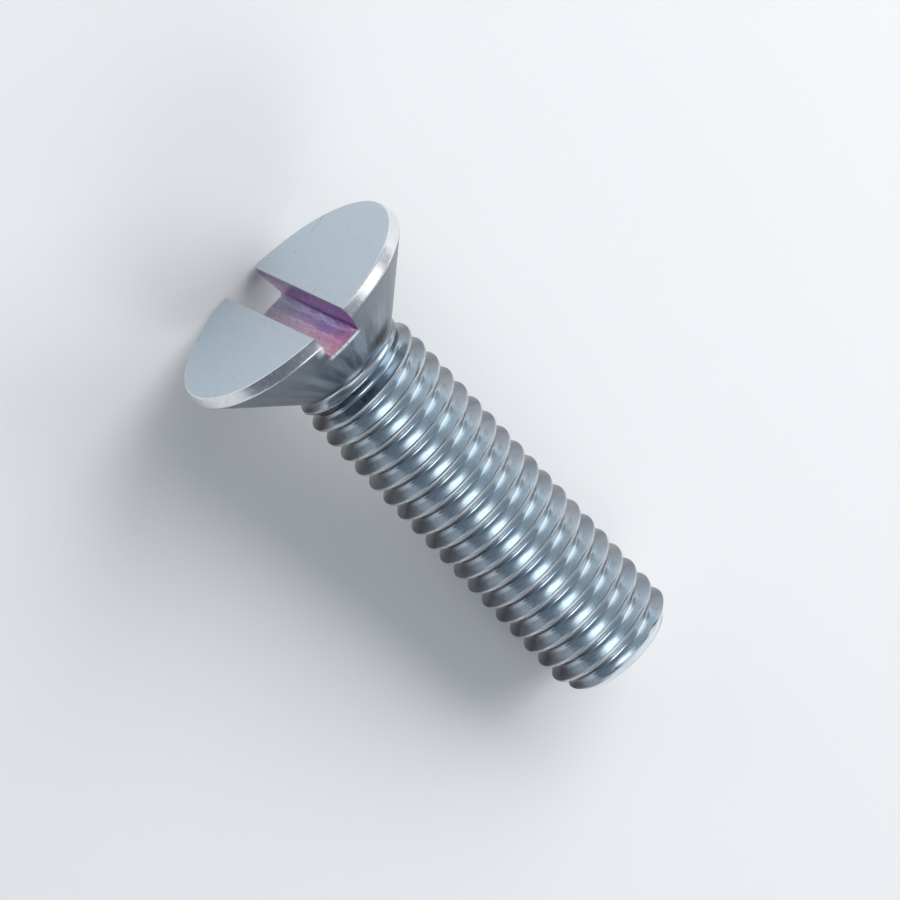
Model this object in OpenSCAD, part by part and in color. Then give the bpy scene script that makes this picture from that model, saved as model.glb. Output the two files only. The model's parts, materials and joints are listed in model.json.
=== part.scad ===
// Slotted countersunk machine screw, M8 x 30, threaded to the head.
// It lies as it comes to rest: on the two corners of its slot and on one crest near the point.
// The screw's axis runs along +X and dips towards the point. The model stands on z = 0.

/* [Head] */
// Diameter of the flat face, over its straight rim
head_d = 15.7; // [15.3:0.05:15.8]
// Height of the straight rim
rim_h = 0.74; // [0.6:0.02:0.8]
// Angle across the cone under the rim
cone_angle = 90; // [82:1:100]
// Width that the face's edge is broken by
edge_break = 0.08; // [0.04:0.02:0.12]
// Radius of the fillet from the cone to the neck
neck_fillet = 0.4; // [0.2:0.05:0.5]

/* [Slot] */
// Width of the sawn slot
slot_w = 2.35; // [2:0.05:2.4]
// Depth of the slot below the face
slot_depth = 2; // [1.8:0.05:2.3]
// Distance that the slot is sawn off the head's centre
slot_shift = 0.25; // [0:0.05:0.3]

/* [Thread] */
// Diameter over the crests
thread_d = 7.89; // [7.76:0.01:7.97]
// Distance from crest to crest
pitch = 1.25; // [1:0.25:1.25]
// Angle round the axis, from the side that lies down, at which a crest passes under the head
thread_angle = 85; // [0:5:355]
// Length from the flat face to the end of the point
length = 29.6; // [29:0.1:30.4]

/* [Point] */
// Diameter of the flat end
point_d = 6.3; // [6:0.1:6.5]
// Angle of the bevel to the axis
point_angle = 43; // [40:1:50]

/* [Hidden] */
head_r = head_d / 2;
crest_r = thread_d / 2;
point_r = point_d / 2;

// A rolled thread rises and sinks about the blank, which has close to its pitch diameter.
// Both are shares of the pitch, and the flanks of a metric thread lean 30 degrees each way
depth_share = 0.535;
rise_share = 0.265;
flank_slope = tan(60);
thread_depth = depth_share * pitch;
root_r = crest_r - thread_depth;
neck_r = crest_r - rise_share * pitch;
head_h = rim_h + (head_r - neck_r) / tan(cone_angle / 2);

// The fillet meets the neck at collar_z, and the thread starts just past it and grows over a turn
fillet_turn = cone_angle / 2;
fillet_reach = neck_fillet * tan(fillet_turn / 2);
collar_h = 0.05;
collar_z = head_h + fillet_reach + collar_h;
run_out_turns = 0.9;
run_out = run_out_turns * pitch;

// The thread's body is let into the head, and its start lies just inside the neck
buried = 0.4;
neck_inset = 0.02;
start_r = neck_r - neck_inset;

// The profile over one pitch, as places along the axis from the middle of a crest, and radii.
// Its crest is a narrow flat between two shoulders, as rolling leaves it
flat_share = 0.04;
shoulder_share = 0.1;
sharp_share = 1 / 16;
flat_half = flat_share * pitch;
shoulder_half = shoulder_share * pitch;
sharp_half = sharp_share * pitch;
shoulder_r = crest_r - (shoulder_half - sharp_half) * flank_slope;
root_half = sharp_half + thread_depth / flank_slope;
profile = [
    [-root_half, root_r],
    [-shoulder_half, shoulder_r],
    [-flat_half, crest_r],
    [flat_half, crest_r],
    [shoulder_half, shoulder_r],
    [root_half, root_r]
];

// The thread is a grid of columns round the axis and rows that climb along the helix
columns = 32;
rows_a_turn = len(profile);
row_gap = 0.02;
thread_start = collar_z + row_gap;
thread_end = length - row_gap;

// Place along the axis, and radius, of the grid's point in column c and row j
function turn_of(j) = floor(j / rows_a_turn);
function profile_of(j) = profile[j - rows_a_turn * turn_of(j)];
function place(c, j) =
    head_h + pitch * (c / columns - thread_angle / 360 + turn_of(j)) + profile_of(j)[0];
function grown(z) = min(1, max(0, (z - thread_start) / run_out));
function point_limit(z) = point_r + (length - z) * tan(point_angle);
function radius(c, j) =
    let(z = place(c, j))
    min(start_r + (profile_of(j)[1] - start_r) * grown(z), point_limit(z));

// First and last row of a column that lie between the neck and the end, among enough turns
turns_to_start = 4;
turns_to_end = ceil((length - head_h) / pitch) + 2;
first_row = [
    for (c = [0 : columns])
        min([
            for (j = [-rows_a_turn : turns_to_start * rows_a_turn])
                if (place(c, j) > thread_start) j
        ])
];
last_row = [
    for (c = [0 : columns])
        max([for (j = [0 : turns_to_end * rows_a_turn]) if (place(c, j) < thread_end) j])
];

// A column's points run from the buried end to the neck, up the thread and to the flat end
function column(c) = concat(
    [[head_h - buried, start_r], [collar_z, start_r]],
    [for (j = [first_row[c] : last_row[c]]) [place(c, j), radius(c, j)]],
    [[length, point_r]]
);
column_points = [for (c = [0 : columns - 1]) column(c)];
column_size = [for (points = column_points) len(points)];
column_base = [for (c = 0, sum = 0; c < columns; sum = sum + column_size[c], c = c + 1) sum];
thread_points = [
    for (c = [0 : columns - 1])
        for (p = column_points[c])
            [p[1] * cos(360 * c / columns), p[1] * sin(360 * c / columns), p[0]]
];

// Index of a row's point. The column past the last is the first, one turn further on.
// The two points before a column's first row are low, and the last of all is high
function at(c, j) = c < columns
    ? column_base[c] + 2 + j - first_row[c]
    : column_base[0] + 2 + j + rows_a_turn - first_row[0];
function low(c, k) = column_base[c % columns] + k;
function high(c) = column_base[c % columns] + column_size[c % columns] - 1;

// The strip from column c to the next, which may start and end some rows lower
function strip(c) =
    let(
        a0 = first_row[c],
        b0 = first_row[c + 1],
        a1 = last_row[c],
        b1 = last_row[c + 1]
    )
    concat(
        [[low(c, 0), low(c, 1), low(c + 1, 1)], [low(c, 0), low(c + 1, 1), low(c + 1, 0)]],
        [[low(c, 1), at(c, a0), low(c + 1, 1)], [at(c, a0), at(c + 1, b0), low(c + 1, 1)]],
        [for (j = [b0 : 1 : a0 - 1]) [at(c, a0), at(c + 1, j + 1), at(c + 1, j)]],
        [for (j = [a0 : b1 - 1]) [at(c, j), at(c, j + 1), at(c + 1, j + 1)]],
        [for (j = [a0 : b1 - 1]) [at(c, j), at(c + 1, j + 1), at(c + 1, j)]],
        [for (j = [b1 : 1 : a1 - 1]) [at(c, j), at(c, j + 1), at(c + 1, b1)]],
        [[at(c, a1), high(c), high(c + 1)], [at(c, a1), high(c + 1), at(c + 1, b1)]]
    );
thread_faces = concat(
    [for (c = [0 : columns - 1]) for (face = strip(c)) face],
    [[for (c = [0 : columns - 1]) low(c, 0)]],
    [[for (c = [columns - 1 : -1 : 0]) high(c)]]
);

// The slot's two lower corners lie on the floor, so the slot leans by the mean of their angles
corner_a = asin((-slot_shift - slot_w / 2) / head_r);
corner_b = asin((-slot_shift + slot_w / 2) / head_r);
slot_lean = -(corner_a + corner_b) / 2;
corner_drop = head_r * cos((corner_b - corner_a) / 2);

// The screw dips until a crest in the half towards its point meets the floor
dip = min([
    for (p = thread_points)
        if (p[2] > length / 2) atan((corner_drop - p[0]) / (p[2] - rim_h))
]);
face_height = rim_h * sin(dip) + corner_drop * cos(dip);
back_x = -(corner_drop - edge_break) * sin(dip);
front_x = length * cos(dip) + point_r * sin(dip);
middle_x = (back_x + front_x) / 2;

head_facets = 128;
fillet_steps = 6;
slot_overcut = 1;

module head_outline() {
    polygon(concat(
        [[0, 0], [head_r - edge_break, 0], [head_r, edge_break], [head_r, rim_h]],
        [
            for (i = [0 : fillet_steps])
                let(turn = fillet_turn * (1 - i / fillet_steps))
                [
                    neck_r + neck_fillet * (1 - cos(turn)),
                    head_h + fillet_reach - neck_fillet * sin(turn)
                ]
        ],
        [[neck_r, collar_z], [0, collar_z]]
    ));
}

module slot_cut() {
    rotate([0, 0, slot_lean])
        translate([-head_d, -slot_shift - slot_w / 2, -slot_overcut])
            cube([2 * head_d, slot_w, slot_depth + slot_overcut]);
}

module head() {
    difference() {
        rotate_extrude($fn = head_facets) head_outline();
        slot_cut();
    }
}

module thread() {
    polyhedron(points = thread_points, faces = thread_faces, convexity = 10);
}

module screw() {
    color([0.62, 0.68, 0.73])
        translate([-middle_x, 0, face_height])
            rotate([0, 90 + dip, 0])
                union() {
                    head();
                    thread();
                }
}

screw();
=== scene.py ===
"""Slotted countersunk machine screw, M8 x 30, zinc plated, lying on its slot's corners and a crest."""

import json

import bmesh
import bpy
import numpy as np
from mathutils import Matrix, Vector


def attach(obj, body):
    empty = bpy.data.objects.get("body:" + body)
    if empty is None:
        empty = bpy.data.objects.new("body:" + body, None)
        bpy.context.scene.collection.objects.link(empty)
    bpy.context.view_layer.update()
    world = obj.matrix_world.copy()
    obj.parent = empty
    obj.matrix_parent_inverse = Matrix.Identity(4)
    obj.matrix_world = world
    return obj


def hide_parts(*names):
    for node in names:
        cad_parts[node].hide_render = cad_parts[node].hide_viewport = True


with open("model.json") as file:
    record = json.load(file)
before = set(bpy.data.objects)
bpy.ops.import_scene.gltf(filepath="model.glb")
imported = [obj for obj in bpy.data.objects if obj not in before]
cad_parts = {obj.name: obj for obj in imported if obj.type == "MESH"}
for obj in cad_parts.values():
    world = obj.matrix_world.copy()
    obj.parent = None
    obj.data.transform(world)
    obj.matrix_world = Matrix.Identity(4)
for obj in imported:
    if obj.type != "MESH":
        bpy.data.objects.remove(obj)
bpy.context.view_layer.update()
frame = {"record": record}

# Screw: one piece of soft steel wire. The head is struck cold in a die, the slot is sawn through it,
# and the thread is rolled up to the neck, which pushes each crest up as two lips with a seam between.
# The whole is plated with zinc and passivated, which leaves violet colours in the slot.
MM = 0.001
mounts = {mount["name"]: mount for mount in frame["record"]["mounts"]}
rim_h = 0.74
axis = np.array(mounts["thread"]["axis"])
face_centre = np.array(mounts["countersink_seat"]["pos_m"]) - rim_h * MM * axis
length = np.linalg.norm(np.array(mounts["thread"]["pos_m"]) - face_centre) / MM
across = np.array([0.0, 1.0, 0.0])
down = np.cross(across, axis)

head_r = mounts["countersink_seat"]["dims"]["r_mm"]
crest_r = mounts["thread"]["dims"]["r_mm"]
pitch = 1.25
depth_share = 0.535
rise_share = 0.265
root_r = crest_r - depth_share * pitch
neck_r = crest_r - rise_share * pitch
neck_h = 0.22
head_h = rim_h + head_r - neck_r
collar_z = head_h + neck_h
point_r = 3.15

rim_round = 0.08
rim_soft = 0.1
rim_draft = 0.12
neck_soft = 0.17
flat_r = head_r - rim_draft - rim_round
round_turn = np.radians(np.linspace(0, 90, 6))


def smooth_min(a, b, width):
    """The lesser of a and b, with a parabola of the given width over the corner where they cross."""
    near = np.maximum(width - np.abs(a - b), 0) / width
    return np.minimum(a, b) - near ** 2 * width / 4


def head_radius(z):
    """Radius of the head at a depth z under the face: a quarter circle at the face's edge and a rim
    that widens as the die leaves it, then the lesser of the rim and the cone, and the greater of that
    and the neck, each with a soft corner."""
    edge_left = rim_round - np.minimum(z, rim_round)
    edge = flat_r + np.sqrt(np.maximum(rim_round ** 2 - edge_left ** 2, 0))
    rim = edge + rim_draft * np.clip(z / (rim_h - rim_soft), 0, 1)
    cone = smooth_min(rim, head_r + rim_h - z, rim_soft)
    return -smooth_min(-cone, -neck_r, neck_soft)


slot_w = 2.35
slot_depth = 2.0
slot_shift = 0.25
slot_corner = 0.2
slot_burr = 0.07
wall_low = slot_w / 2 + slot_shift
wall_high = slot_w / 2 - slot_shift
slot_lean = -(np.arcsin(-wall_low / head_r) + np.arcsin(wall_high / head_r)) / 2
wall_gap = 1.6 * rim_round
face_lines = 20
floor_lines = 10
edge_rows = rim_round * (1 - np.cos(round_turn))
wall_rows = np.concatenate([
    np.linspace(rim_round, rim_h - rim_soft, 5)[1:],
    np.linspace(rim_h - rim_soft, rim_h + rim_soft, 9)[1:],
    np.linspace(rim_h + rim_soft, slot_depth - slot_corner, 7)[1:],
])
corner_rows = slot_depth - slot_corner * (1 - np.sin(round_turn[1:]))


def half_section(wall):
    """Half of the line straight across the head and its slot, from the edge of the face to the slot's
    floor: the face, a rounded edge, the wall and a rounded corner. Returns the distance from the middle,
    the depth, and the place of each point's column round the head, which all the wall's points share."""
    first = np.arcsin((wall + wall_gap) / flat_r)
    face = flat_r * np.sin(np.linspace(np.pi / 2, first, face_lines))
    edge = wall + rim_round * (1 - np.sin(round_turn))
    corner = wall - slot_corner * (1 - np.cos(round_turn[1:]))
    side = np.concatenate([face, edge, np.full(len(wall_rows), wall), corner])
    depth = np.concatenate([np.zeros(face_lines), edge_rows, wall_rows, corner_rows])
    steps = [np.ones(face_lines + len(edge)), np.zeros(len(wall_rows)), np.ones(len(corner))]
    return side, depth, np.cumsum(np.concatenate(steps)).astype(int) - 1


low_side, low_depth, low_place = half_section(wall_low)
high_side, high_depth, high_place = half_section(wall_high)
floor_side = np.linspace(-low_side[-1], high_side[-1], floor_lines + 2)[1:-1]
floor_place = low_place[-1] + 1 + np.arange(floor_lines)
last_place = floor_place[-1] + 1 + high_place[-1]
section_y = np.concatenate([-low_side, floor_side, high_side[::-1]])
section_z = np.concatenate([low_depth, np.full(floor_lines, slot_depth), high_depth[::-1]])
section_place = np.concatenate([low_place, floor_place, last_place - high_place[::-1]])


def breakout(y, z):
    """Half length of the head at a place across and a depth, from the circle of its radius there, less
    the small bevel where the slot runs out."""
    reach = np.sqrt(np.maximum(head_radius(z) ** 2 - y ** 2, 0))
    return reach - slot_burr * np.minimum(z / rim_round, 1)


def lean(x, y, z):
    """Points given along and across the slot, turned about the axis by the slot's lean."""
    return np.stack([
        x * np.cos(slot_lean) - y * np.sin(slot_lean),
        x * np.sin(slot_lean) + y * np.cos(slot_lean),
        z + 0 * x,
    ], axis=-1)


# The section is carried from one end of the slot to the other, in steps that are closest at the ends
along = np.sin(np.radians(np.linspace(-90, 90, 29)))
slotted_face = lean(
    along[None, :] * breakout(section_y, section_z)[:, None],
    section_y[:, None] + 0 * along[None, :],
    section_z[:, None],
)

# The outside of the head goes once round: each section line starts a column at both of its ends
round_y = np.concatenate([section_y, section_y[-2::-1]])
round_z = np.concatenate([section_z, section_z[-2::-1]])
round_side = np.concatenate([np.ones(len(section_y)), -np.ones(len(section_y) - 1)])
round_place = np.concatenate([section_place, 2 * last_place - section_place[-2::-1]])
columns = 2 * last_place
even_turn = np.linspace(-np.pi / 2, 1.5 * np.pi, columns + 1)
cone_rows = slot_depth + (head_h - neck_soft - slot_depth) * np.linspace(0, 1, 22)[1:]
neck_rows = np.linspace(head_h - neck_soft, collar_z, 14)[1:]
rows = np.concatenate([edge_rows, wall_rows, corner_rows, cone_rows, neck_rows])
slot_reach = 0.4 * head_r


def smooth_step(x):
    """Goes from 0 to 1 with level ends as x does: three times its square less twice its cube."""
    x = np.clip(x, 0, 1)
    return x * x * (3 - 2 * x)


def head_outside():
    """Each column starts where its section line ends, follows the slot's direction beside the slot and
    a straight line down the cone away from it, and comes to an even spacing at the neck."""
    z = np.maximum(rows[None, :], round_z[:, None])
    y = round_y[:, None]
    start = np.arcsin(np.clip(y / head_radius(round_z)[:, None], -1, 1))
    beside = np.arcsin(np.clip(y / head_radius(np.minimum(z, slot_depth)), -1, 1))
    near_slot = 1 - smooth_step((np.abs(y + slot_shift) - slot_w / 2) / slot_reach)
    turn = start + near_slot * (beside - start)
    turn = np.where(round_side[:, None] > 0, turn, np.pi - turn)
    below = smooth_step((z - slot_depth) / (collar_z - slot_depth))
    turn = turn + below * (even_turn[round_place][:, None] - turn)
    radius = head_radius(z)
    on_wall = np.isclose(np.abs(round_y + slot_shift), slot_w / 2)
    foot = np.where(on_wall, slot_depth - slot_corner, round_z)[:, None]
    bevel = slot_burr * np.minimum(foot / rim_round, 1) * (z <= foot + 1e-9)
    x = radius * np.cos(turn) - bevel * round_side[:, None]
    return lean(x, radius * np.sin(turn), z)


thread_angle = np.radians(85)
thread_turns = int(np.ceil((length - head_h) / pitch)) + 3
rows_a_turn = 26
crest_crowding = 0.3
root_crowding = 0.4
crest_soft = 0.04
sharp_half = pitch / 16
root_round = 0.278
flank_lean = np.radians(30)
seam_depth = 0.022
seam_half = 0.025
seam_shift = 0.05
run_out = 0.9 * pitch
point_slope = np.tan(np.radians(43))
point_soft = 0.06
end_round = 0.06


def thread_section(turns):
    """Radius of the thread at a number of turns from a crest: flanks that lean 30 degrees, a narrow
    crest with soft corners, an arc from flank to flank round the root, and the seam that rolling leaves
    along the crest, as a bell-shaped groove."""
    past = pitch * (turns - np.round(turns))
    away = np.abs(past)
    flank = crest_r + (sharp_half - away) / np.tan(flank_lean)
    crest = smooth_min(flank, crest_r, crest_soft)
    from_root = pitch / 2 - away
    arc = root_r + root_round - np.sqrt(np.maximum(root_round ** 2 - from_root ** 2, 0))
    body = np.where(from_root < root_round * np.cos(flank_lean), arc, crest)
    return body - seam_depth * np.exp(-((past - seam_shift) / seam_half) ** 2)


def thread_outside():
    """Rows climb along the helix and stop at the neck and at the point. They lie closest at the crests,
    and closer in the roots than on the flanks, by a sine of the turn and a sine of twice the turn.
    The thread grows out of the neck over most of a turn, and the bevel of the point cuts it off."""
    even = np.linspace(0, thread_turns, thread_turns * rows_a_turn + 1)
    to_crests = crest_crowding * np.sin(2 * np.pi * even) / (2 * np.pi)
    to_roots = root_crowding * np.sin(4 * np.pi * even) / (4 * np.pi)
    turns = even - to_crests - to_roots - 1
    lead = (even_turn + slot_lean - thread_angle) / (2 * np.pi)
    z = head_h + pitch * (lead[:, None] + turns[None, :])
    z = np.clip(z, collar_z, length - end_round)
    grown = np.clip((z - collar_z) / run_out, 0, 1)
    radius = neck_r + (thread_section((z - head_h) / pitch - lead[:, None]) - neck_r) * grown
    radius = smooth_min(radius, point_r + (length - z) * point_slope, point_soft)
    turn = even_turn[:, None]
    return lean(radius * np.cos(turn), radius * np.sin(turn), z)


def point_end():
    """The flat end as rings about the axis, with a rounded edge from the bevel."""
    edge_r = point_r + end_round * point_slope
    rounded = [edge_r, edge_r - 0.03, point_r - 0.02, point_r - 0.1, point_r - 0.2]
    rings_r = np.array([*rounded, 2.4, 1.6, 0.8, 0])
    rings_z = length - end_round * np.array([1, 0.5, 0.12, 0, 0, 0, 0, 0, 0])
    turn = even_turn[:, None]
    return lean(rings_r * np.cos(turn), rings_r * np.sin(turn), rings_z + 0 * turn)


same_point = 2e-7
sharp_edge = np.radians(38)


def weld(name, grids, marked):
    """One mesh of several grids of points in millimetres in the screw's directions, joined where they
    meet. The faces of the first grid carry the given marks."""
    points = []
    faces = []
    count = 0
    for grid in grids:
        long, wide = grid.shape[:2]
        index = count + np.arange(long * wide).reshape(long, wide)
        corners = [index[:-1, :-1], index[1:, :-1], index[1:, 1:], index[:-1, 1:]]
        faces.append(np.stack(corners, axis=-1).reshape(-1, 4))
        points.append(grid.reshape(-1, 3))
        count += long * wide
    points = np.concatenate(points) @ np.stack([down, across, axis]) * MM + face_centre
    faces = np.concatenate(faces)
    mesh = bpy.data.meshes.new(name)
    mesh.from_pydata(points, [], faces.tolist())
    for mark, values in marked.items():
        layer = mesh.attributes.new(mark, "FLOAT", "FACE")
        layer.data.foreach_set("value", np.pad(values, (0, len(faces) - len(values))).astype(np.float32))
    work = bmesh.new()
    work.from_mesh(mesh)
    bmesh.ops.remove_doubles(work, verts=work.verts, dist=same_point)
    bmesh.ops.recalc_face_normals(work, faces=work.faces)
    work.to_mesh(mesh)
    work.free()
    mesh.shade_smooth()
    mesh.set_sharp_from_angle(angle=sharp_edge)
    piece = bpy.data.objects.new(name, mesh)
    bpy.context.scene.collection.objects.link(piece)
    return piece


# The lines of the section between the slot's two edges are sawn, and the rest of the face is struck
between = (section_z[:-1] + section_z[1:]) / 2 > 0.4 * rim_round
sawn = np.repeat(between.astype(float), len(along) - 1)
screw = weld(
    "zinc_screw",
    [slotted_face, head_outside(), thread_outside(), point_end()],
    {"sawn": sawn, "struck": 1 - sawn},
)

# Each point of the mesh, in millimetres: below the face, out from the axis, past the nearest crest
# towards the point, along and across the slot, and in degrees round from the side that lies up
at = np.empty(3 * len(screw.data.vertices))
screw.data.vertices.foreach_get("co", at)
at = (at.reshape(-1, 3) - face_centre) / MM @ np.stack([down, across, axis]).T
below_face = at[:, 2]
below_head = below_face - head_h
reach = np.hypot(at[:, 0], at[:, 1])
crest_turn = (np.arctan2(at[:, 1], at[:, 0]) - thread_angle) / (2 * np.pi)
past_crest = below_head / pitch - crest_turn
past_crest = pitch * (past_crest - np.round(past_crest))
slot_x = at[:, 0] * np.cos(slot_lean) + at[:, 1] * np.sin(slot_lean)
slot_y = at[:, 1] * np.cos(slot_lean) - at[:, 0] * np.sin(slot_lean) + slot_shift
from_top = np.degrees(np.arctan2(at[:, 1], -at[:, 0]))


def mark_points(piece, name, values):
    """Keeps one number for each point of a piece, for its material to read."""
    layer = piece.data.attributes.new(name, "FLOAT", "POINT")
    layer.data.foreach_set("value", values.astype(np.float32))


def band(value, middle, half):
    """Fades from 1 at the middle to 0 outside the half width, as a bell with a flat top: e to the
    minus fourth power of the distance over the half width."""
    return np.exp(-((value - middle) / half) ** 4)


mark_points(screw, "depth", below_face)
mark_points(screw, "reach", reach)
mark_points(screw, "round_x", at[:, 0] / np.maximum(reach, 0.1))
mark_points(screw, "round_y", at[:, 1] / np.maximum(reach, 0.1))
mark_points(screw, "inward", head_radius(below_face) - reach)
mark_points(screw, "slot_along", slot_x)
mark_points(screw, "slot_across", slot_y + np.sign(slot_y) * (slot_depth - below_face))

# The crests are rubbed beside their seam. The lee flanks are those that face the point, and painted shade
# lies on the other flanks towards the screw's two sides, where they are seen edge on
crest_middle = 0.02
crest_half = 0.08
lee_end = 0.56
unshaded_half = 20
side_shade_fade = 35
within_root = 0.03
full_thread = smooth_step((reach - neck_r) / 0.2) * (below_face > collar_z)
lee_flank = smooth_step(past_crest / 0.05) * smooth_step((lee_end - past_crest) / 0.12)
on_turns = reach > root_r - within_root
side_shade_share = smooth_step((np.abs(from_top) - unshaded_half) / side_shade_fade)
side_shade_share = side_shade_share * (0.9 - 0.1 * np.sin(np.radians(from_top)))
mark_points(screw, "crest", band(past_crest, crest_middle, crest_half) * full_thread)
mark_points(screw, "seam", np.exp(-((past_crest - seam_shift) / seam_half) ** 2) * full_thread)
mark_points(screw, "lee", lee_flank * on_turns * (below_face > head_h + 1))
mark_points(screw, "painted_side_shade", side_shade_share * on_turns)


def patch(turn, half_turn, along, half_along):
    """A band round from the top, in degrees, times a band along the axis from the head's foot."""
    return band(from_top, turn, half_turn) * band(below_head, along, half_along)


# Under the slot the cone is scored. Two painted highlights lie on the neck as bright streaks, with a patch
# of painted shade before them on the cone and one past them. The saw leaves a burr at the slot's upper
# end, below the floor and beside one wall
mark_points(screw, "scored", patch(-8, 32, -1.3, 1.5))
mark_points(screw, "shade_patch", np.maximum(patch(24, 14, -0.7, 0.45), patch(-20, 20, 0.72, 0.2)))
mark_points(screw, "neck_highlight", np.maximum(patch(-4, 24, 0.28, 0.1), patch(-32, 16, 0.02, 0.08)))
burr_inward = 0.12
at_surface = reach > head_radius(below_face) - burr_inward
upper_end = (slot_x < 0) & at_surface & (below_head < 0)
below_floor = band(below_face, slot_depth + 0.1, 0.14) * np.exp(-(slot_y / 1.2) ** 12)
beside_wall = band(slot_y, -1.3, 0.13) * band(below_face, 0.85, 0.5)
mark_points(screw, "burr", np.maximum(below_floor, beside_wall) * upper_end)


def node(tree, kind, sockets, **options):
    """Adds a shader node, sets its options, and gives each of the named sockets a value or a link."""
    made = tree.nodes.new("ShaderNode" + kind)
    for option, value in options.items():
        setattr(made, option, value)
    for socket, value in sockets.items():
        if isinstance(value, bpy.types.NodeSocket):
            tree.links.new(value, made.inputs[socket])
        else:
            made.inputs[socket].default_value = value
    return made


def mark(tree, name):
    """The number that mark_points or weld kept under this name."""
    return node(tree, "Attribute", {}, attribute_name=name).outputs["Fac"]


def figure(tree, kind, *values):
    """One step of arithmetic on up to three numbers."""
    return node(tree, "Math", dict(enumerate(values)), operation=kind).outputs[0]


def product(tree, *values):
    """The numbers times each other."""
    made = values[0]
    for value in values[1:]:
        made = figure(tree, "MULTIPLY", made, value)
    return made


def total(tree, *values):
    """The numbers added up."""
    made = values[0]
    for value in values[1:]:
        made = figure(tree, "ADD", made, value)
    return made


def less(tree, value, taken):
    """A number with another taken away."""
    return figure(tree, "SUBTRACT", value, taken)


def spread(tree, value, low, high, to_low=0.0, to_high=1.0):
    """Carries a number from one range to another, held at both ends."""
    return node(
        tree, "MapRange",
        {"Value": value, "From Min": low, "From Max": high, "To Min": to_low, "To Max": to_high},
    ).outputs["Result"]


def tint(tree, share, first, second):
    """Mixes two colours by a share."""
    return node(tree, "Mix", {0: share, 6: first, 7: second}, data_type="RGBA").outputs[2]


def pattern_place(tree, x, y, z):
    """Three numbers as the place that a pattern is read at."""
    return node(tree, "CombineXYZ", {"X": x, "Y": y, "Z": z}).outputs["Vector"]


def grain(tree, vector, per_mm, detail=3.0, roughness=0.55):
    """A cloudy pattern with about this many spots to the millimetre."""
    return node(
        tree, "TexNoise",
        {"Vector": vector, "Scale": per_mm / MM, "Detail": detail, "Roughness": roughness},
    ).outputs["Fac"]


# Zinc plate: satin on the struck face, where it has fine pits, and glossy on the rolled thread, where
# faint lines run along the helix. Crests are rubbed bright, and a dark line of painted shade lies in their
# seam.
zinc = bpy.data.materials.new("zinc_plate")
zinc.use_nodes = True
tree = zinc.node_tree
shader = tree.nodes["Principled BSDF"]
place = node(tree, "TexCoord", {}).outputs["Object"]
parts = node(tree, "SeparateXYZ", {"Vector": place}).outputs
depth = mark(tree, "depth")
crest = mark(tree, "crest")
lee = mark(tree, "lee")
slot_along = mark(tree, "slot_along")
slot_across = mark(tree, "slot_across")
sawn_face = mark(tree, "sawn")
struck_face = mark(tree, "struck")
outside = less(tree, 1.0, total(tree, sawn_face, struck_face))
on_thread = spread(tree, depth, head_h - 0.6, head_h + 0.3)
on_head = less(tree, 1.0, on_thread)
on_rim = product(tree, outside, spread(tree, depth, rim_h + 0.03, rim_h - 0.03))
clouds = grain(tree, place, 0.55)
mottle = grain(tree, place, 3.2, 4.0)
fine = grain(tree, place, 14.0, 4.0, 0.65)

# Thread: blue-grey, with painted shade where the other flanks are seen edge on towards the sides, and
# paler on the lee flanks
bright_zinc = (0.57, 0.69, 0.78, 1)
lee_zinc = (0.86, 0.90, 0.92, 1)
edge_shade_zinc = (0.09, 0.08, 0.09, 1)
facing = node(tree, "LayerWeight", {"Blend": 0.5}).outputs["Facing"]
windward = product(tree, on_thread, less(tree, 1.0, lee))
edge_shade = product(tree, spread(tree, facing, 0.15, 0.6), windward, mark(tree, "painted_side_shade"))
colour = tint(tree, lee, bright_zinc, lee_zinc)
colour = tint(tree, edge_shade, colour, edge_shade_zinc)

# Cone: painted shade, a dark zinc for the shade on the head's underside, streaked down its slope, with
# pale scores under the slot
cone_shade_zinc = (0.20, 0.22, 0.25, 1)
cone_shine = (0.35, 0.38, 0.43, 1)
score_dark = (0.12, 0.14, 0.17, 1)
score_pale = (0.50, 0.58, 0.65, 1)
down_cone = pattern_place(
    tree,
    product(tree, depth, 0.3 * MM),
    product(tree, mark(tree, "round_x"), 8 * MM),
    product(tree, mark(tree, "round_y"), 8 * MM),
)
cone_marks = grain(tree, down_cone, 0.9, 5.0, 0.6)
cone_colour = tint(tree, spread(tree, cone_marks, 0.3, 0.8, 0.15, 0.65), cone_shade_zinc, cone_shine)
scores = tint(tree, spread(tree, cone_marks, 0.4, 0.62), score_dark, score_pale)
cone_colour = tint(tree, product(tree, mark(tree, "scored"), 0.6), cone_colour, scores)
colour = tint(tree, on_head, colour, cone_colour)

# Rim and face: the rim is bright and mottled, and the face is satin with a violet tinge by the slot
rim_zinc = (0.90, 0.91, 0.92, 1)
rim_dull = (0.78, 0.79, 0.81, 1)
satin_zinc = (0.61, 0.70, 0.76, 1)
satin_violet = (0.60, 0.62, 0.68, 1)
colour = tint(tree, on_rim, colour, tint(tree, spread(tree, mottle, 0.35, 0.65), rim_dull, rim_zinc))
colour = tint(tree, struck_face, colour, satin_zinc)
by_slot = spread(tree, figure(tree, "ABSOLUTE", slot_across), 5.2, 3.2, 0.0, 0.4)
colour = tint(tree, product(tree, by_slot, struck_face), colour, satin_violet)

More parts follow.
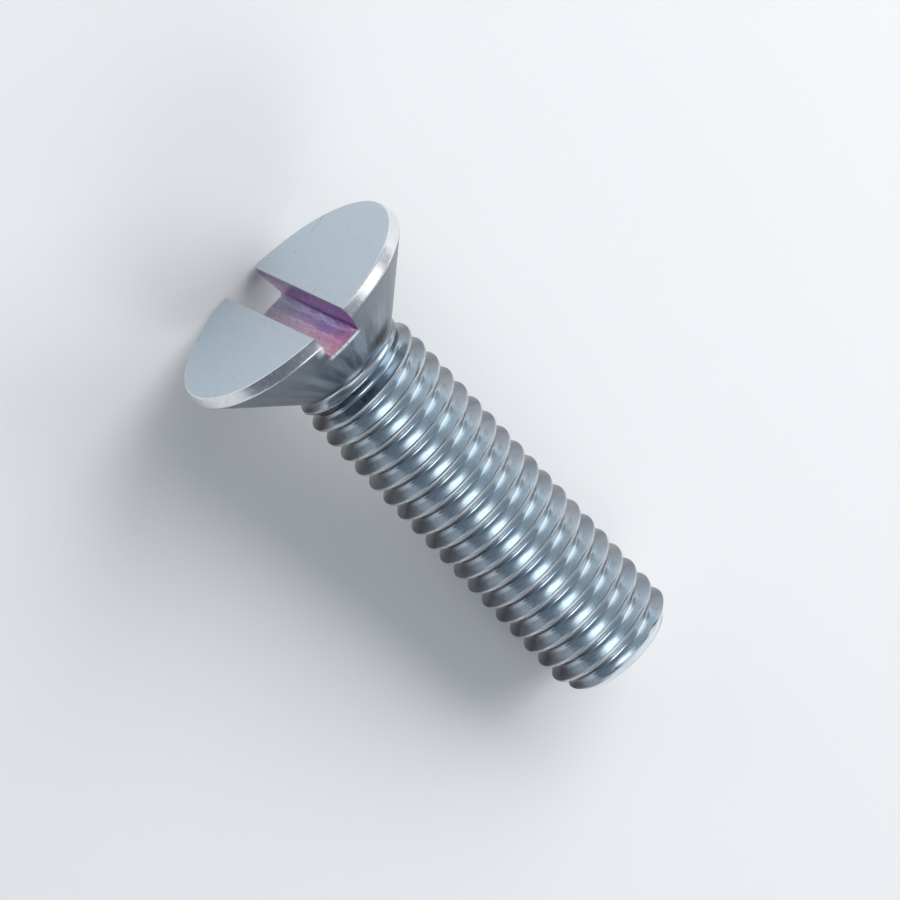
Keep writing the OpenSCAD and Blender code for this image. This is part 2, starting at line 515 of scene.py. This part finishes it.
# A faint scratch runs in from the face's edge, and fine pits are strewn over the face
scratch_zinc = (0.36, 0.42, 0.46, 1)
scratch_end = 6.3
scratch_x = 4.64
scratch_slope = 0.335
pit_zinc = (0.43, 0.49, 0.54, 1)
from_end = less(tree, slot_across, scratch_end)
aside = less(tree, slot_along, figure(tree, "MULTIPLY_ADD", from_end, scratch_slope, scratch_x))
aside = total(tree, aside, spread(tree, mottle, 0.3, 0.7, -0.06, 0.06))
scratch = spread(tree, figure(tree, "ABSOLUTE", aside), 0.1, 0.03, 0.0, 0.55)
scratch = product(tree, scratch, spread(tree, from_end, 0.0, 0.5))
colour = tint(tree, product(tree, scratch, struck_face), colour, scratch_zinc)
pits = grain(tree, place, 3.8, 1.5)
colour = tint(tree, product(tree, spread(tree, pits, 0.68, 0.76), struck_face), colour, pit_zinc)

# Neck: warm clouds on the thread, painted shade as dark lines round the neck and as black patches, and
# painted highlights as bright streaks
warm_zinc = (0.54, 0.53, 0.54, 1)
neck_shade_zinc = (0.10, 0.09, 0.09, 1)
highlight_zinc = (0.95, 0.95, 0.94, 1)
round_neck = pattern_place(
    tree,
    product(tree, parts["Y"], 0.12),
    product(tree, parts["Z"], 0.12),
    product(tree, depth, MM),
)
neck_lines = grain(tree, round_neck, 3.2, 3.0)
from_cone = spread(tree, depth, head_h - 0.5, head_h - 0.2)
to_thread = spread(tree, depth, head_h + 1.1, head_h + 0.5)
shade_patch = mark(tree, "shade_patch")
warm = product(tree, spread(tree, clouds, 0.45, 0.75, 0.0, 0.35), on_thread)
colour = tint(tree, warm, colour, warm_zinc)
neck_shade_lines = product(tree, from_cone, to_thread, spread(tree, neck_lines, 0.56, 0.44, 0.0, 0.6))
patch_shade = product(tree, shade_patch, spread(tree, mottle, 0.3, 0.5, 0.5, 1.0))
colour = tint(tree, figure(tree, "MAXIMUM", neck_shade_lines, patch_shade), colour, neck_shade_zinc)
neck_highlight = product(tree, mark(tree, "neck_highlight"), spread(tree, neck_lines, 0.3, 0.45, 0.3, 1.0))
colour = tint(tree, neck_highlight, colour, highlight_zinc)

# Crests: rubbed bright in patches, with painted shade as a dark line in the seam
worn_crest = (0.93, 0.92, 0.91, 1)
seam_shade_zinc = (0.07, 0.06, 0.06, 1)
colour = tint(tree, product(tree, crest, spread(tree, mottle, 0.4, 0.65, 0.4, 1.0)), colour, worn_crest)
seam_shade = product(tree, mark(tree, "seam"), spread(tree, mottle, 0.35, 0.6, 0.5, 1.0))
colour = tint(tree, seam_shade, colour, seam_shade_zinc)

# Slot: films of passivation lie in bands along it, rose on one side of the floor, pale and violet
# towards the other side and up the wall. They fade to bare zinc at the lower end, and turn red on the
# floor and blue on the wall towards the upper end
film_low = -2.4
film_high = 3.0
film_stops = (
    (-2.4, (0.60, 0.50, 0.56)),
    (-0.9, (0.66, 0.52, 0.58)),
    (-0.2, (0.56, 0.26, 0.42)),
    (0.12, (0.68, 0.44, 0.60)),
    (0.22, (0.36, 0.18, 0.44)),
    (0.6, (0.32, 0.20, 0.50)),
    (0.76, (0.76, 0.72, 0.95)),
    (0.94, (0.58, 0.53, 0.86)),
    (1.04, (0.10, 0.05, 0.28)),
    (1.45, (0.16, 0.05, 0.42)),
    (1.9, (0.50, 0.08, 0.48)),
    (2.7, (0.28, 0.13, 0.50)),
    (3.0, (0.30, 0.34, 0.46)),
)
bare_slot = (0.70, 0.73, 0.79, 1)
film_red = (0.60, 0.12, 0.30, 1)
film_blue = (0.26, 0.10, 0.44, 1)
film_rose = (0.66, 0.18, 0.42, 1)
streak_dark = (0.22, 0.12, 0.34, 1)
streak_pale = (0.86, 0.74, 0.88, 1)
along_slot = pattern_place(
    tree,
    product(tree, slot_along, 0.12 * MM),
    product(tree, slot_across, MM),
    0.0,
)
sawn_grain = grain(tree, along_slot, 3.0, 4.0, 0.6)
streaks = grain(tree, along_slot, 8.0, 3.0, 0.7)
film_place = total(tree, slot_across, spread(tree, sawn_grain, 0.3, 0.7, -0.14, 0.14))
film = node(tree, "ValToRGB", {0: spread(tree, film_place, film_low, film_high)})
ramp = film.color_ramp
for stop, (where, shade) in enumerate(film_stops):
    point = ramp.elements[stop] if stop < 2 else ramp.elements.new(1)
    point.position = (where - film_low) / (film_high - film_low)
    point.color = (*shade, 1)
on_wall = spread(tree, slot_across, 1.0, 1.25)
floor_share = spread(tree, slot_along, 7.0, -2.0, 0.3, 1.0)
wall_share = product(tree, on_wall, spread(tree, slot_along, 7.0, 4.0, 0.4, 1.0))
film_share = figure(tree, "MAXIMUM", floor_share, wall_share)
slot_colour = tint(tree, film_share, bare_slot, film.outputs["Color"])
upper_share = spread(tree, slot_along, -2.5, -6.0, 0.0, 0.75)
upper_share = product(tree, upper_share, spread(tree, sawn_grain, 0.3, 0.6, 0.4, 1.0))
slot_colour = tint(tree, upper_share, slot_colour, tint(tree, on_wall, film_red, film_blue))
blotch = product(tree, spread(tree, mottle, 0.48, 0.62, 0.0, 0.6), on_wall)
slot_colour = tint(tree, blotch, slot_colour, film_rose)
slot_colour = tint(tree, spread(tree, streaks, 0.52, 0.66, 0.0, 0.4), slot_colour, streak_dark)
slot_colour = tint(tree, spread(tree, streaks, 0.48, 0.34, 0.0, 0.4), slot_colour, streak_pale)
colour = tint(tree, sawn_face, colour, slot_colour)

# Burr: torn bright where the saw leaves the slot
torn_zinc = (0.97, 0.98, 0.98, 1)
burr = product(tree, spread(tree, mark(tree, "inward"), 0.2, 0.1), sawn_face)
burr = figure(tree, "MAXIMUM", burr, mark(tree, "burr"))
colour = tint(tree, product(tree, burr, spread(tree, mottle, 0.3, 0.42)), colour, torn_zinc)
tree.links.new(colour, shader.inputs["Base Color"])

# Roughness starts from the rolled thread's, and other surfaces add to it. The rim, which the die has
# polished, takes from it. The lee flanks are dusty and the burr is torn, so they shine less like metal
rolled_rough = 0.17
rougher = (
    (struck_face, 0.29),
    (sawn_face, 0.12),
    (crest, 0.2),
    (lee, 0.07),
    (on_rim, -0.15),
    (shade_patch, 0.15),
    (product(tree, on_head, outside), 0.22),
)
rough = total(tree, rolled_rough, *[product(tree, where, more) for where, more in rougher])
rough = total(tree, rough, spread(tree, mottle, 0.3, 0.7, -0.02, 0.04))
tree.links.new(rough, shader.inputs["Roughness"])
lee_dust = 0.14
burr_torn = 0.6
dull = figure(tree, "MAXIMUM", product(tree, lee, lee_dust), product(tree, burr, burr_torn))
tree.links.new(less(tree, 1.0, dull), shader.inputs["Metallic"])

# Relief: lines along the helix, which change fast with the distance from the axis and slowly
# otherwise, a fine grain on the head, the saw's lines in the slot, and the burr's ragged edge
along_helix = pattern_place(
    tree,
    product(tree, parts["X"], 0.05),
    product(tree, parts["Y"], 0.05),
    product(tree, mark(tree, "reach"), 0.9 * MM),
)
helix_lines = grain(tree, along_helix, 12.0, 2.0)
height = total(
    tree,
    product(tree, helix_lines, on_thread),
    product(tree, fine, on_head, 0.5),
    product(tree, sawn_grain, sawn_face, 6.0),
    product(tree, mottle, burr, 12.0),
)
bump = node(tree, "Bump", {"Height": height, "Distance": 0.004 * MM, "Strength": 1.0})
tree.links.new(bump.outputs["Normal"], shader.inputs["Normal"])

screw.data.materials.append(zinc)
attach(screw, "root")
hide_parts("screw")

# Floor: a plain white studio surface that the screw lies on.
floor_half = 0.6
floor_corners = [(x * floor_half, y * floor_half, 0) for x, y in ((-1, -1), (1, -1), (1, 1), (-1, 1))]
floor_mesh = bpy.data.meshes.new("floor")
floor_mesh.from_pydata(floor_corners, [], [(0, 1, 2, 3)])
floor = bpy.data.objects.new("floor", floor_mesh)
bpy.context.scene.collection.objects.link(floor)
paper = bpy.data.materials.new("white_paper")
paper.use_nodes = True
paper_shader = paper.node_tree.nodes["Principled BSDF"]
paper_shader.inputs["Base Color"].default_value = (0.9, 0.9, 0.9, 1)
paper_shader.inputs["Roughness"].default_value = 0.9
paper_shader.inputs["Specular IOR Level"].default_value = 0.1
floor_mesh.materials.append(paper)

# Camera: a long lens above the screw and before its head. The line of sight crosses the screw's axis
# at 69 degrees, and the axis runs across the picture at 46 degrees, down to the right.
view_to_axis = np.radians(69.26)
axis_on_image = np.radians(46.28)
twist = np.radians(9.45)
camera_distance = 1.3275
focal_px = 23256
photo_px = 900
sensor_mm = 36
centre_right = 9.323 * MM
centre_down = 8.593 * MM
side_on = np.cos(twist) * -down + np.sin(twist) * -across
level = np.cross(axis, side_on)
away_from_axis = np.sin(view_to_axis) * axis + np.cos(view_to_axis) * side_on
image_right = np.cos(axis_on_image) * away_from_axis - np.sin(axis_on_image) * level
image_down = np.sin(axis_on_image) * away_from_axis + np.cos(axis_on_image) * level
forward = np.cos(view_to_axis) * axis - np.sin(view_to_axis) * side_on
camera_at = face_centre + centre_right * image_right + centre_down * image_down - camera_distance * forward
camera_turn = Matrix([list(row) for row in np.stack([image_right, -image_down, -forward], axis=1)])
lens = bpy.data.cameras.new("camera")
lens.sensor_width = sensor_mm
lens.lens = focal_px / photo_px * sensor_mm
camera = bpy.data.objects.new("camera", lens)
camera.matrix_world = Matrix.Translation(Vector(camera_at)) @ camera_turn.to_4x4()
bpy.context.scene.collection.objects.link(camera)
bpy.context.scene.camera = camera

# Light: soft boxes beside the screw, before its head and past its point, and a lamp that the metal
# doesn't mirror. The room is paler on the side of the large box, overhead and past the point.
box_distance = 0.5
lamp_distance = 0.35


def direction(azimuth, elevation):
    """The direction from the screw at these angles in degrees, one unit long."""
    turn, lift = np.radians([azimuth, elevation])
    return np.array([np.cos(lift) * np.cos(turn), np.cos(lift) * np.sin(turn), np.sin(lift)])


def soft_box(name, azimuth, elevation, wide, high, level, distance=box_distance):
    """A lamp seen from the screw at these angles and of this angular width and height, all in degrees.
    Its level is its brightness, where 1 is white."""
    towards = direction(azimuth, elevation)
    light = bpy.data.lights.new(name, "AREA")
    light.shape = "RECTANGLE"
    light.size = 2 * distance * np.tan(np.radians(wide / 2))
    light.size_y = 2 * distance * np.tan(np.radians(high / 2))
    light.energy = level * np.pi * light.size * light.size_y
    lamp = bpy.data.objects.new(name, light)
    lamp.location = distance * towards
    lamp.rotation_euler = Vector(-towards).to_track_quat("-Z", "Y").to_euler()
    bpy.context.scene.collection.objects.link(lamp)
    return lamp


soft_box("side_box", 110, 40, 70, 34, 0.94)
soft_box("head_box", 190, 24, 26, 40, 0.72)
soft_box("point_box", -21, 42, 32, 24, 2.3)
paper_lamp = soft_box("paper_lamp", 84, 36, 64, 40, 3.2, lamp_distance)
paper_lamp.visible_glossy = False

world = bpy.data.worlds.new("studio")
world.use_nodes = True
room = world.node_tree
ray = node(room, "TexCoord", {}).outputs["Generated"]


def near_to(azimuth, elevation, inner, outer):
    """1 within the inner angle from a direction in the room and 0 past the outer one, in degrees."""
    centre = tuple(direction(azimuth, elevation))
    share = node(room, "VectorMath", {0: ray, 1: centre}, operation="DOT_PRODUCT").outputs["Value"]
    return spread(room, share, np.cos(np.radians(outer)), np.cos(np.radians(inner)))


room_grey = (0.145, 0.165, 0.20, 1)
wall_grey = (0.52, 0.54, 0.56, 1)
ceiling_grey = (0.26, 0.30, 0.34, 1)
screen_grey = (0.38, 0.41, 0.45, 1)
room_colour = tint(room, near_to(80, 22, 15, 50), room_grey, wall_grey)
room_colour = tint(room, near_to(60, 80, 15, 50), room_colour, ceiling_grey)
room_colour = tint(room, near_to(-15, 42, 10, 40), room_colour, screen_grey)
room.links.new(room_colour, room.nodes["Background"].inputs["Color"])
bpy.context.scene.world = world
bpy.context.scene.view_settings.view_transform = "Standard"
